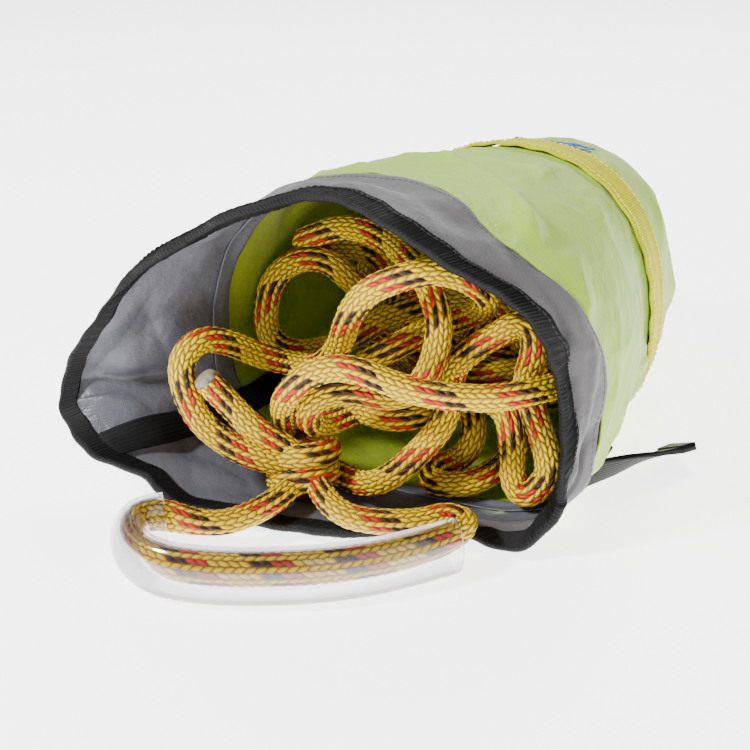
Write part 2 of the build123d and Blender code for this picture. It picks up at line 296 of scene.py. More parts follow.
CARRIERS = 8             # strands each way round the rope
PITCH = 0.0305           # one turn of a strand, in metres of rope


def rope_material(name, painted_shade_factor):
    """Braided rope: slanted picks in columns, with black and red tracer strands one way round."""
    n = Nodes(name)
    u, v = n.uv()
    columns = n.math("MULTIPLY", u, 2.0 * CARRIERS)
    column = n.math("FLOOR", columns)
    across = n.math("SUBTRACT", n.math("SUBTRACT", columns, column), 0.5)
    odd = n.math("FLOORED_MODULO", n.math("ADD", column, 0.25), 2.0)
    odd = n.math("GREATER_THAN", odd, 1.0)
    way = n.math("MULTIPLY_ADD", odd, 2.0, -1.0)
    climb = n.math("MULTIPLY", way, n.math("MULTIPLY_ADD", across, 0.5, n.math("MULTIPLY", column, 0.5)))
    place = n.math("ADD", n.math("MULTIPLY", v, CARRIERS / PITCH), climb)
    row = n.math("FLOOR", place)
    along = n.math("SUBTRACT", n.math("SUBTRACT", place, row), 0.5)
    edge = n.math("POWER", n.math("ABSOLUTE", n.math("MULTIPLY", across, 2.0)), 3.0)
    end = n.math("POWER", n.math("ABSOLUTE", n.math("MULTIPLY", along, 2.0)), 2.2)
    height = n.math("SUBTRACT", 1.0, n.math("MINIMUM", n.math("ADD", edge, end), 1.0))
    strand = n.math("FLOORED_MODULO", n.math("ADD", row, 0.25), float(CARRIERS))
    even = n.math("SUBTRACT", 1.0, odd)
    black = n.math("MULTIPLY", even, n.math("LESS_THAN", strand, 2.0))
    red = n.math("MULTIPLY", even, n.math("LESS_THAN", strand, 4.0))
    fibre = n.noise(2600.0, 2.0)
    # painted_shade_factor dims all the rope's colours: below 1 it paints shade into the rope's own colour
    yellow = n.mix(fibre, fade((0.80, 0.48, 0.0), painted_shade_factor), fade((1.0, 0.76, 0.0), painted_shade_factor))
    color = n.mix(red, yellow, fade((0.60, 0.018, 0.012), painted_shade_factor))
    color = n.mix(black, color, (0.006, 0.006, 0.007, 1.0))
    # painted shade: the gaps between the picks are darkened towards dark brown, standing in for the shade
    # between the strands
    gap_painted_shade = n.math("POWER", n.math("SUBTRACT", 1.0, height), 1.7)
    color = n.mix(n.math("MULTIPLY", gap_painted_shade, 0.85), color, (0.17, 0.045, 0.0, 1.0))
    n.set(Base_Color=color, Roughness=0.38)
    n.bsdf.inputs["Specular IOR Level"].default_value = 0.35
    n.bump(n.math("ADD", height, n.math("MULTIPLY", fibre, 0.2)), 0.0006, 1.0)
    return n.material


def pick_height(u, v):
    """Height of the rope's picks, 0 to 1, at u turns round it and v metres along it."""
    columns = 2 * CARRIERS * u
    column = np.floor(columns + 1e-6)
    across = columns - column - 0.5
    way = np.where(np.mod(column, 2) > 0.5, 1.0, -1.0)
    place = v * CARRIERS / PITCH + way * (0.5 * across + 0.5 * column)
    along = place - np.floor(place) - 0.5
    return 1 - np.minimum(np.abs(2 * across) ** 3.0 + np.abs(2 * along) ** 2.2, 1.0)


def plain_material(name, color, roughness, noise_scale=0.0, noise_amount=0.0, bump=0.0, specular=0.5):
    n = Nodes(name)
    tone = color
    if noise_scale:
        speck = n.noise(noise_scale, 3.0)
        tone = n.mix(speck, fade(color, 1 - noise_amount), fade(color, 1 + noise_amount))
        if bump:
            n.bump(speck, bump, 0.6)
    n.set(Base_Color=tone, Roughness=roughness)
    n.bsdf.inputs["Specular IOR Level"].default_value = specular
    return n.material


def webbing_material(name, dark, bright, rib, roughness=0.55):
    """Woven tape with ribs across it."""
    n = Nodes(name)
    u, v = n.uv()
    ribs = n.math("MULTIPLY_ADD", n.math("SINE", n.math("MULTIPLY", u, 2 * math.pi / rib)), 0.5, 0.5)
    fine = n.math("MULTIPLY_ADD", n.math("SINE", n.math("MULTIPLY", v, 2 * math.pi / 0.0008)), 0.25, 0.5)
    weave = n.math("MULTIPLY", ribs, fine)
    n.set(Base_Color=n.mix(weave, dark, bright), Roughness=roughness)
    n.bsdf.inputs["Specular IOR Level"].default_value = 0.18
    n.bump(n.math("ADD", weave, n.math("MULTIPLY", n.noise(1500.0), 0.4)), 0.0003, 0.7)
    return n.material


def hose_material():
    """Clear soft hose: it lets light through, and shines more where it is seen edge-on."""
    n = Nodes("clear_hose")
    clear = n.add("ShaderNodeBsdfTransparent")
    clear.inputs["Color"].default_value = (0.955, 0.95, 0.96, 1.0)
    shine = n.add("ShaderNodeBsdfGlossy")
    shine.inputs["Color"].default_value = (0.95, 0.95, 0.97, 1.0)
    shine.inputs["Roughness"].default_value = 0.09
    rim = n.add("ShaderNodeLayerWeight")
    rim.inputs["Blend"].default_value = 0.32
    body = n.add("ShaderNodeBsdfTranslucent")
    body.inputs["Color"].default_value = (0.62, 0.62, 0.66, 1.0)
    haze = n.add("ShaderNodeMixShader")
    facing = n.math("POWER", rim.outputs["Facing"], 4.0)
    n.plug(n.math("MULTIPLY", facing, 0.75), haze.inputs[0])
    n.plug(clear.outputs[0], haze.inputs[1])
    n.plug(body.outputs[0], haze.inputs[2])
    blend = n.add("ShaderNodeMixShader")
    n.plug(n.math("MULTIPLY_ADD", rim.outputs["Fresnel"], 0.7, 0.03), blend.inputs[0])
    n.plug(haze.outputs[0], blend.inputs[1])
    n.plug(shine.outputs[0], blend.inputs[2])
    n.plug(blend.outputs[0], n.out.inputs["Surface"])
    return n.material


collar_out = cloth_material("collar_cloth", (0.05, 0.046, 0.048, 1), (0.125, 0.118, 0.122, 1),
                            thread=0.0011, glow=0.0, roughness=0.75, sheen=0.35)
collar_in = cloth_material("collar_lining", (0.055, 0.056, 0.068, 1), (0.15, 0.155, 0.185, 1),
                           thread=0.0014, glow=0.0, roughness=0.34, sheen=0.0)
green = cloth_material("body_cloth", (0.33, 0.55, 0.02, 1), (0.56, 0.80, 0.06, 1),
                       thread=0.0012, glow=0.16, roughness=0.55, sheen=0.25)
# the green cloth's inner face: the same cloth painted about half as bright, painted shade for the inside of
# the bag
green_painted_shade = cloth_material("body_cloth_painted_shade", (0.16, 0.21, 0.004, 1), (0.30, 0.36, 0.012, 1),
                              thread=0.0012, glow=0.10, roughness=0.6, sheen=0.1)
rope_yellow = rope_material("rope", 1.0)
# a darker copy of the rope: painted shade for the rope deep inside the bag
rope_shade_painted = rope_material("rope_painted_shade", 0.8)
black_web = webbing_material("black_webbing", (0.002, 0.002, 0.0025, 1), (0.011, 0.011, 0.013, 1), 0.0016)
yellow_web = webbing_material("yellow_webbing", (0.52, 0.50, 0.0, 1), (0.86, 0.86, 0.0, 1), 0.0010)
yellow_thread = plain_material("yellow_thread", (0.95, 0.86, 0.08, 1), 0.6, 900.0, 0.15)
grey_thread = plain_material("grey_thread", (0.10, 0.10, 0.10, 1), 0.6, 900.0, 0.15)
black_thread = plain_material("black_thread", (0.012, 0.012, 0.012, 1), 0.6, 900.0, 0.15)
blue = plain_material("blue_print", (0.02, 0.12, 0.50, 1), 0.4, 300.0, 0.15)
foam = plain_material("foam", (0.78, 0.78, 0.74, 1), 0.9, 700.0, 0.1, 0.0004)
sealed = plain_material("sealed_end", (0.25, 0.22, 0.16, 1), 0.5, 600.0, 0.4, 0.0006)
hose = hose_material()

# ---- cloth shells ----
CLOTH_INSET = 2.4        # middle of the cloth, inside the bag's outer shape
COLLAR_T, BODY_T, BAND_T = 1.0, 0.7, 1.2
BAND_FRONT_Y, BAND_BACK_Y = 38.5, 64.0
BODY_END_Y, BASE_START_Y = 51.8, 52.4     # the two greens meet under the band
BAND_INSET = 1.3
COLLAR_FLAT, BODY_FLAT, BASE_FLAT = (490, 55), (460, 112), (400, 74)
# The true edge of the mouth, slightly out of plane
RIM_EDGE = np.array([
    (-131, -130, 35), (-128, -128, 50), (-119, -123, 70), (-109, -118, 87), (-94, -114, 102),
    (-79, -111, 113), (-63, -107, 124), (-48, -105, 132), (-34, -102, 138), (-23, -95, 141),
    (-10, -91, 141), (15, -94, 136), (38, -90, 125), (51, -83, 118), (67, -71, 101),
    (76, -64, 73), (78, -65, 58), (79, -66, 20), (70, -73, 5), (63, -78, 3), (42, -80, 4),
    (22, -95, 3.5), (-2, -109, 3), (-34, -120, 4), (-55, -128, 6), (-68, -133, 9),
    (-86, -128, 14), (-105, -141, 24),
], float)
TURNS = 512


def smooth_closed(values, passes):
    for _ in range(passes):
        values = (np.roll(values, 1, 0) + 2 * values + np.roll(values, -1, 0)) / 4
    return values


def rim_offset(turn):
    """How far the true edge lies from the plain rim ring, at each angle."""
    dense = np.concatenate([RIM_EDGE, RIM_EDGE[:1]])
    run = np.concatenate([[0], np.cumsum(np.linalg.norm(np.diff(dense, axis=0), axis=1))])
    place = np.linspace(0, run[-1], 1400, endpoint=False)
    edge = np.stack([np.interp(place, run, dense[:, k]) for k in range(3)], -1)
    edge = smooth_closed(edge, 160)
    centre = np.array([STATIONS[0][1], STATIONS[0][0], STATIONS[0][4]])
    base = ring(np.zeros_like(turn), turn)
    flat = base - centre
    own = np.arctan2(flat[:, 2], flat[:, 0])
    edge_turn = np.arctan2(edge[:, 2] - centre[2], edge[:, 0] - centre[0])
    order = np.argsort(edge_turn)
    offset = np.zeros_like(base)
    for k in range(3):
        offset[:, k] = np.interp(own, edge_turn[order], edge[order, k], period=2 * np.pi) - base[:, k]
    return smooth_closed(offset, 6)


turn = 2 * np.pi * np.arange(TURNS) / TURNS
rim_shift = rim_offset(turn)


def folds(turn_grid, w_grid, seed, count, low, high, slant):
    """Soft folds that run along the bag, as a sum of a few waves."""
    local = np.random.default_rng(seed)
    total = np.zeros_like(w_grid)
    for _ in range(count):
        waves = local.integers(low, high)
        phase, lean = local.uniform(0, 2 * np.pi), local.uniform(-slant, slant)
        pace = local.uniform(0.4, 1.6)
        swell = 0.5 + 0.5 * np.sin(pace * w_grid * 2.2 + local.uniform(0, 6.3))
        total += swell * np.sin(waves * turn_grid + lean * w_grid * 6 + phase) / count ** 0.5
    return total


def bag_surface(w, inset):
    """Grid of bag points with the true edge blended in near the mouth."""
    w_grid, turn_grid = np.meshgrid(w, turn, indexing="ij")
    start = np.clip(1 - (w_grid - SEAM_W) / 1.6, 0, 1)
    pull = np.where(w_grid <= SEAM_W, w_grid / SEAM_W, start)
    w_grid = w_grid + (seam_at(turn_grid) - SEAM_W) * pull
    points = ring(w_grid, turn_grid, inset)
    near = np.clip(1 - w_grid / SEAM_W, 0, 1) ** 1.3
    return points + near[..., None] * rim_shift[None], w_grid, turn_grid


def seam_at(angle):
    """Station number of the collar seam at each angle: the collar is pushed back at the upper right."""
    degrees = np.degrees(angle)
    return SEAM_W - 0.75 * np.exp(-((degrees - 50) / 22) ** 2) + 0.10 * np.exp(-((degrees - 12) / 12) ** 2)


def crumple(points, seed, count, shortest, longest):
    """Soft crumples in every direction, -1 to 1, from the points' places in mm."""
    local = np.random.default_rng(seed)
    bent = points + 7 * np.sin(points[..., [1, 2, 0]] / 17.0 + local.uniform(0, 6.3, 3))
    total = np.zeros(points.shape[:-1])
    for _ in range(count):
        way = local.normal(size=3)
        way /= np.linalg.norm(way)
        length = local.uniform(shortest, longest)
        total += 1 - 2 * np.abs(np.sin(math.pi * (bent @ way) / length + local.uniform(0, 6.3))) ** 0.9
    return total / count ** 0.5


def keep_up(points, lowest=0.5):
    points[..., 2] = np.maximum(points[..., 2], lowest)
    return points


def held_in(shape, inwards, outwards):
    """Flatten the folds that would press into what is inside, or bulge too far."""
    return np.where(shape < 0, inwards * np.tanh(shape / inwards), outwards * np.tanh(shape / outwards))


# collar
w_collar = np.linspace(0.0, SEAM_W, 70)
points, w_grid, turn_grid = bag_surface(w_collar, CLOTH_INSET)
normal = normals_of(points)
ease = np.sin(np.pi * np.clip(w_grid / SEAM_W, 0, 1)) ** 0.8
shape = 1.5 * folds(turn_grid, w_grid, 11, 7, 3, 11, 0.8)
shape += 0.7 * folds(turn_grid, w_grid, 12, 8, 9, 24, 1.6)
shape += 1.1 * crumple(points, 13, 7, 24, 55)
# single folds of the collar: angle, station number, half width in degrees, half length, height in mm
COLLAR_FOLDS = [
    (166, 0.9, 15, 0.7, -5.0), (183, 0.7, 5, 0.8, 3.0), (196, 0.6, 7, 0.7, -3.5), (128, 1.0, 12, 0.9, -3.0),
    (92, 1.0, 16, 0.8, 2.0), (20, 1.2, 12, 0.7, 2.5), (345, 1.0, 14, 0.8, -2.5), (222, 0.9, 9, 0.7, 2.5),
]
for at, w_at, spread, reach, size in COLLAR_FOLDS:
    away = np.mod(np.degrees(turn_grid) - at - 9 * (w_grid - w_at) + 180, 360) - 180
    shape += size * np.exp(-(away / spread) ** 2 - ((w_grid - w_at) / reach) ** 2) / (0.35 + ease)
collar_points = keep_up(points + normal * (shape * (0.35 + ease))[..., None], 1.0)
collar_normal = normals_of(collar_points)
collar = shell("collar_cloth", collar_points, collar_normal, COLLAR_T, [collar_out, collar_in],
               *COLLAR_FLAT)

# body
w_band_front, w_band_back = w_at_y(BAND_FRONT_Y), w_at_y(BAND_BACK_Y)
w_body = np.linspace(SEAM_W + 0.004, w_at_y(BODY_END_Y), 130)
points, w_grid, turn_grid = bag_surface(w_body, CLOTH_INSET)
normal = normals_of(points)
to_band = np.exp(-((w_grid - w_band_front) / 0.55) ** 2)
to_seam = np.exp(-((w_grid - seam_at(turn_grid)) / 0.35) ** 2)
shape = 1.8 * folds(turn_grid, w_grid, 21, 8, 2, 7, 1.6) + 2.0 * crumple(points, 22, 7, 26, 55)
shape += 0.85 * crumple(points, 23, 8, 12, 24)
gather = np.sin(34 * turn_grid + 2.5 * np.sin(3 * turn_grid)) * 1.2
under_band = np.clip((w_grid - (w_band_front - 0.02)) / 0.06, 0, 1)
shape = shape * (1 - 0.6 * to_seam) + gather * to_band * 0.6
shape = shape * (1 - 0.95 * under_band) - 0.5 * under_band
body_points = keep_up(points + normal * held_in(shape, 2.2, 5.0)[..., None])
body_normal = normals_of(body_points)
# the inner rows take the green with painted shade
body = shell("body_cloth", body_points, body_normal, BODY_T, [green, green_painted_shade], *BODY_FLAT)

# base section
w_base = np.linspace(w_at_y(BASE_START_Y), len(STATIONS) - 1, 100)
points, w_grid, turn_grid = bag_surface(w_base, CLOTH_INSET)
normal = normals_of(points)
shape = 1.0 * folds(turn_grid, w_grid, 31, 7, 2, 7, 1.4) + 1.5 * crumple(points, 32, 8, 20, 45)
past_band = np.clip((w_grid - w_band_back) / 0.25, 0, 1)
gather = 0.8 * np.sin(30 * turn_grid + 2.0 * np.sin(2 * turn_grid))
gather *= np.exp(-((w_grid - w_band_back) / 0.4) ** 2)
shape = (shape + gather) * past_band - 0.5 * (1 - past_band)
base_points = keep_up(points + normal * held_in(shape, 1.8, 4.0)[..., None])
base_normal = normals_of(base_points)
base = shell("base_cloth", base_points, base_normal, BODY_T, [green], *BASE_FLAT)

# base end: the disc follows the base section's last ring, and bulges a little
steps = np.linspace(0.985, 0.0, 30)
centre = base_points[-1].mean(0)
disc_points = centre + (base_points[-1][None] - centre) * steps[:, None, None]
disc_points[..., 1] += (2.0 * (1 - steps ** 2))[:, None] - 1.2
disc_points[..., 1] += 0.6 * np.sin(5 * turn + 1)[None] * np.sin(np.pi * steps)[:, None]
back = np.zeros_like(disc_points)
back[..., 1] = 1.0
disc = shell("base_end", disc_points, back, BODY_T, [green], 300, 50)

# yellow band, with a raised middle rib and a soft scalloped front edge
w_band = np.linspace(w_band_front, w_band_back, 40)
points, w_grid, turn_grid = bag_surface(w_band, BAND_INSET)
across = (w_grid - w_band_front) / (w_band_back - w_band_front)
rib = np.exp(-((across - 0.52) / 0.09) ** 2) + 0.45 * np.exp(-((across - 0.12) / 0.05) ** 2)
rib += 0.45 * np.exp(-((across - 0.9) / 0.05) ** 2)
wave = 0.3 * np.sin(34 * turn_grid + 2.5 * np.sin(3 * turn_grid)) * (1 - across) ** 2
band_points = keep_up(points + normals_of(points) * (0.9 * rib + wave)[..., None])
band_normal = normals_of(band_points)
band = shell("yellow_band_web", band_points, band_normal, BAND_T, [yellow_web], 430, 24)

# ---- tape folded round the rim ----
TAPE_STEPS = 900
TAPE_SIDE, TAPE_ROUND = 20, 12        # points on each side of the tape, and round its fold
TAPE_HALF, TAPE_WIDE = 2.1, 6.6       # half thickness over the cloth, and depth from the edge


def resample_closed(points, count):
    closed = np.concatenate([points, points[:1]])
    run = np.concatenate([[0], np.cumsum(np.linalg.norm(np.diff(closed, axis=0), axis=1))])
    place = np.linspace(0, run[-1], count, endpoint=False)
    return np.stack([np.interp(place, run, closed[:, k]) for k in range(closed.shape[1])], -1), run[-1]


edge_normal = collar_normal[:12].mean(0)
rim_data = np.concatenate([collar_points[0], collar_points[9] - collar_points[0], edge_normal], 1)
rim_data, rim_length = resample_closed(rim_data, TAPE_STEPS)
rim_line, inward, outward = rim_data[:, :3], rim_data[:, 3:6], rim_data[:, 6:]
rim_line = smooth_closed(rim_line, 12)
inward, outward = smooth_closed(inward, 300), smooth_closed(outward, 300)
inward = unit(inward)
outward = unit(outward - inward * np.sum(inward * outward, 1, keepdims=True))
# the tape's section: points down one side, round the edge and back up the other, in mm
section = []
for k in range(2 * TAPE_SIDE + TAPE_ROUND):
    if k < TAPE_SIDE:
        section.append((TAPE_WIDE - TAPE_WIDE * k / TAPE_SIDE, TAPE_HALF))
    elif k < TAPE_SIDE + TAPE_ROUND:
        swing = math.pi * (k - TAPE_SIDE) / TAPE_ROUND
        section.append((-TAPE_HALF * math.sin(swing), TAPE_HALF * math.cos(swing)))
    else:
        section.append((TAPE_WIDE * (k - TAPE_SIDE - TAPE_ROUND) / (TAPE_SIDE - 1), -TAPE_HALF))
section = np.array(section)
place = np.arange(TAPE_STEPS) / TAPE_STEPS
ribs = 0.13 * np.sin(2 * np.pi * place * 380)
sway = 0.5 * np.sin(2 * np.pi * place * 17 + 1) + 0.35 * np.sin(2 * np.pi * place * 41)
depth = section[None, :, 0] + sway[:, None]
lift = section[None, :, 1] * (1 + ribs[:, None] / 2) + np.sign(section[None, :, 1]) * ribs[:, None]
tape_points = rim_line[:, None] + inward[:, None] * depth[..., None] + outward[:, None] * lift[..., None]
tape_points = keep_up(tape_points, 0.35)
tape_cols = len(section)
tape_uv = np.zeros((TAPE_STEPS + 1, tape_cols + 1, 2))
tape_uv[..., 0] = (np.arange(TAPE_STEPS + 1) / TAPE_STEPS * rim_length * MM)[:, None]
tape_uv[..., 1] = (np.arange(tape_cols + 1) * 0.0005)[None]
tape = grid_object("rim_tape", tape_points, tape_uv, black_web, True, True)


# ---- stitches: short raised threads ----
def stitches(name, line, normals, material, pitch, size):
    """A row of separate stitches along a closed line of points."""
    data, length = resample_closed(np.concatenate([line, normals], 1), 4000)
    count = int(length / pitch)
    rows, verts, faces = 7, [], []
    for s in range(count):
        span = (s + np.linspace(0.08, 0.86, rows)) / count * len(data)
        picked = data[span.astype(int) % len(data)]
        centre, up = picked[:, :3], picked[:, 3:]
        side = np.cross(unit(np.gradient(centre, axis=0)), up)
        arch = np.sin(np.linspace(0, np.pi, rows)) * size * 0.45
        start = len(verts)
        for r in range(rows):
            girth = size / 2 * (0.55 + 0.45 * math.sin(math.pi * r / (rows - 1)))
            for c in range(6):
                angle = 2 * math.pi * c / 6
                verts.append((centre[r] + up[r] * (arch[r] + girth * math.sin(angle))
                              + side[r] * girth * math.cos(angle)) * MM)
        for r in range(rows - 1):
            for c in range(6):
                a, b = start + r * 6 + c, start + r * 6 + (c + 1) % 6
                faces.append((a, b, b + 6, a + 6))
        faces.append(tuple(range(start + 5, start - 1, -1)))
        faces.append(tuple(range(start + (rows - 1) * 6, start + rows * 6)))
    mesh = bpy.data.meshes.new(name)
    mesh.from_pydata([tuple(x) for x in verts], [], faces)
    mesh.polygons.foreach_set("use_smooth", np.full(len(faces), True))
    return new_object(name, mesh, material)


BAND_STITCH_ROWS, SEAM_STITCH_ROW = (4, 35), 66     # rows of the band's grid, and of the collar's
band_rows = [stitches("band_stitches_%d" % k, band_points[r] + band_normal[r] * 0.7, band_normal[r],
                      yellow_thread, 3.0, 0.6) for k, r in enumerate(BAND_STITCH_ROWS)]
seam_normal = collar_normal[SEAM_STITCH_ROW]
seam_stitches = stitches("seam_stitches", collar_points[SEAM_STITCH_ROW] + seam_normal * 0.45, seam_normal,
                         grey_thread, 2.6, 0.4)
tape_line = rim_line + inward * (5.2 + sway[:, None]) + outward * (TAPE_HALF + 0.25)
rim_stitches = stitches("rim_stitches", keep_up(tape_line, 0.8), outward, black_thread, 2.8, 0.5)


# ---- cords ----
def nurbs_line(name, points, resolution):
    """Points along a smooth line that has these control points, all in mm."""
    data = bpy.data.curves.new(name, "CURVE")
    data.dimensions = "3D"
    spline = data.splines.new("NURBS")
    spline.points.add(len(points) - 1)
    for point, place in zip(spline.points, points):
        point.co = (place[0] * MM, place[1] * MM, place[2] * MM, 1.0)
    spline.order_u = 3
    spline.use_endpoint_u = True
    spline.resolution_u = resolution
    piece = bpy.data.objects.new(name, data)
    bpy.context.scene.collection.objects.link(piece)
    bpy.context.view_layer.update()
    mesh = bpy.data.meshes.new_from_object(piece)
    line = np.array([v.co[:] for v in mesh.vertices]) / MM
    bpy.data.objects.remove(piece)
    bpy.data.meshes.remove(mesh)
    bpy.data.curves.remove(data)
    return line


def run_of(line):
    return np.concatenate([[0], np.cumsum(np.linalg.norm(np.diff(line, axis=0), axis=1))])


def at_run(line, places):
    run = run_of(line)
    return np.stack([np.interp(places, run, line[:, k]) for k in range(3)], -1)


def carry_frames(line):
    """Two side directions carried along the line without twist."""
    along = unit(np.gradient(line, axis=0))
    side = np.zeros_like(line)
    first = np.cross(along[0], (0.0, 0.0, 1.0))
    if np.linalg.norm(first) < 0.1:
        first = np.cross(along[0], (1.0, 0.0, 0.0))
    side[0] = unit(first)
    for k in range(1, len(line)):
        side[k] = unit(side[k - 1] - along[k] * np.dot(side[k - 1], along[k]))
    return along, side, np.cross(along, side)


def level_way(along):
    """Level directions square to the line."""
    return unit(np.cross(np.array([[0.0, 0.0, 1.0]]), along))


def rope_mesh(name, line, fine_from, fine_to, fine_step, sides, material, relief=0.5, start_v=0.0,
              tall=None, wide=None, radius=5.35, coarse_step=5.0):
    """A braided rope along the line. tall and wide give its half sizes where it is pressed."""
    total = run_of(line)[-1]
    fine_to = min(fine_to, total)
    places = np.concatenate([np.arange(0, fine_from, coarse_step),
                             np.arange(fine_from, fine_to, fine_step),
                             np.arange(fine_to, total, coarse_step), [total]])
    places = np.unique(np.round(places, 4))
    here = at_run(line, places)
    along, side, rise = carry_frames(here)
    u = np.arange(sides) / sides
    angle = 2 * np.pi * u
    way = (np.cos(angle)[None, :, None] * side[:, None] + np.sin(angle)[None, :, None] * rise[:, None])
    v = places * MM + start_v
    relief_here = np.where((places >= fine_from) & (places <= fine_to), relief, 0.0)
    height = (pick_height(u[None] + 0.25 / sides, v[:, None]) - 0.6) * relief_here[:, None]
    if tall is None:
        reach = way * radius
    else:
        level = level_way(along)
        upright = np.cross(along, level)
        half_tall = np.interp(places, tall[0], tall[1])[:, None, None]
        half_wide = np.interp(places, wide[0], wide[1])[:, None, None]
        vertical = np.sum(way * upright[:, None], -1, keepdims=True)
        sideways = np.sum(way * level[:, None], -1, keepdims=True)
        reach = vertical * half_tall * upright[:, None] + sideways * half_wide * level[:, None]
    points = here[:, None] + reach + way * height[..., None]
    cols = np.arange(sides + 1) / sides
    rows = np.concatenate([v, v[-1:]])
    uv = grid_uv(len(places), sides, rows, cols)
    return grid_object(name, points, uv, material, False, True, True)


ROPE_ROUTE = [
    # the big loop at the left, and back behind the heap
    (-37, -105, 26), (-49, -111, 31), (-62, -115, 40), (-69, -116, 53), (-73, -113, 65),
    (-72, -102, 71), (-69, -88, 65), (-64, -75, 55), (-56, -64, 49), (-39, -64, 51),
    # up and over the top of the heap, then under the rim and back
    (-23, -71, 68), (-15, -78, 85), (-6, -78, 98), (6, -74, 105), (17, -65, 108), (25, -54, 103),
    (29, -43, 93), (23, -34, 82), (9, -33, 74), (2, -47, 72), (-3, -61, 69), (-14, -64, 62),
    (-26, -61, 50), (-32, -49, 35), (-22, -36, 31), (-6, -29, 37), (11, -29, 37), (22, -36, 31),
    # a low curl on the floor of the bag
    (24, -43, 22), (17, -44, 14), (11, -52, 13), (14, -60, 11), (25, -59, 12), (35, -52, 15),
    (40, -40, 20), (43, -28, 25), (38, -17, 34), (33, -9, 47), (27, -6, 62), (18, -8, 75),
    (4, -13, 78), (-8, -19, 74), (-19, -28, 70), (-29, -35, 65), (-38, -42, 57),
    # the round loop against the left wall
    (-51, -48, 50), (-65, -54, 48), (-75, -55, 55), (-77, -53, 67), (-76, -48, 79),
    (-69, -40, 87), (-55, -35, 88), (-47, -31, 79), (-43, -19, 68), (-38, -9, 76),
    (-49, -8, 85), (-62, -16, 87), (-71, -26, 86), (-71, -33, 93), (-64, -34, 97),
    (-52, -29, 102), (-37, -27, 102), (-20, -32, 99),
    # down the middle, and the two short loops above the knot
    (2, -48, 97), (14, -57, 89), (18, -62, 77), (17, -67, 65), (10, -69, 55), (2, -77, 54),
    (-8, -86, 59), (-18, -92, 56), (-24, -94, 48), (-27, -86, 36), (-24, -71, 34),
    (-18, -65, 38), (-4, -66, 38), (10, -62, 41), (16, -45, 44), (29, -39, 46),
    # the long narrow loop at the right
    (42, -45, 44), (46, -49, 33), (49, -54, 24), (53, -56, 17.5), (59, -56.5, 18), (63.5, -54, 24.5),
    (65, -53, 30), (62, -52, 40), (54, -49, 52), (49, -47, 63), (52, -46, 75), (50, -44, 84),
    (43, -44, 85), (36, -46, 79), (26, -49, 71), (18, -51, 61), (21, -56, 52), (23, -65, 43),
    (18, -72, 34), (10, -79, 23), (-2, -82, 14), (-19, -77, 11), (-34, -74, 12),
    # the arch over the knot, and back into the bag
    (-43, -81, 25), (-35, -96, 47), (-25, -103, 61), (-16, -98, 70), (-3, -93, 73),
    (14, -89, 68), (31, -82, 65), (47, -71, 64), (57, -61, 65), (61, -44, 62), (53, -27, 58),
    (38, -19, 54), (27, -22, 50), (16, -26, 46), (6, -20, 46), (0, -8, 48), (0, 3, 50),
]

# the reserve: flat spirals stacked from the base anchor to the front of the coil
COIL_LAYERS, COIL_TURNS = 8, 4.6
COIL_PITCH, COIL_EDGE = 10.4, 12.2
layer_y = np.linspace(82.8, 8.4, COIL_LAYERS)
coil = [(-5.0, 88.0, 57.0)]
for layer, y in enumerate(layer_y):
    w_here = float(w_at_y(y))
    part = np.linspace(0, 1, int(COIL_TURNS * 14) + 1)
    inset = COIL_EDGE + COIL_PITCH * COIL_TURNS * part
    spiral = [tuple(p) for p in ring(w_here, -2 * math.pi * COIL_TURNS * part + 0.7 * layer, inset)]
    coil += spiral[::-1] if layer % 2 == 0 else spiral
rope_control = coil + [tuple(p) for p in ROPE_ROUTE[::-1]] + [(-28, -97, 23)]
rope_path = nurbs_line("rope_line_route", rope_control, 7)
rope_total = run_of(rope_path)[-1]
front_length = run_of(nurbs_line("front_route", ROPE_ROUTE, 7))[-1]
print("main rope mm %.0f, of it in front %.0f" % (rope_total, front_length))
main_rope = rope_mesh("main_rope", rope_path, rope_total - front_length - 20, rope_total, 0.55, 60,
                      rope_yellow, coarse_step=10.0)

TAIL_ROUTE = [(-32, -100, 31), (-43, -105, 39), (-54, -107.5, 49.5), (-60, -112, 59)]
tail_path = nurbs_line("tail_route", [(-25, -94, 24), (-33, -98, 31)] + TAIL_ROUTE[1:], 16)
rope_tail = rope_mesh("rope_tail_cord", tail_path, 0, 200, 0.5, 56, rope_yellow, start_v=0.009)
tail_end, tail_way = Vector(TAIL_ROUTE[-1]), Vector(TAIL_ROUTE[-1]) - Vector(TAIL_ROUTE[-2])
tail_way.normalize()

# the knot: wraps of the rope round the strands that pass through it
KNOT = Vector((-27.8, -92.0, 19.6))
axis = Vector((-0.12, 0.30, 0.945)).normalized()
reach_one = axis.cross(Vector((0.559, -0.829, 0.0))).normalized()
reach_two = axis.cross(reach_one)
KNOT_TURNS, KNOT_START = 2.35, math.radians(20)
wrap = []
for part in np.linspace(0, 1, 40):
    angle = 2 * math.pi * KNOT_TURNS * part + KNOT_START
    out = 9.8 if 0.10 < part < 0.90 else 4.0
    wrap.append(tuple(KNOT + axis * (-9.5 + 21.5 * part) + reach_one * out * math.cos(angle)
                      + reach_two * out * 0.9 * math.sin(angle)))
wrap_path = nurbs_line("wrap_route", wrap, 8)
wraps = rope_mesh("knot_wraps", wrap_path, 0, 400, 0.5, 56, rope_yellow, start_v=0.004, radius=5.7)

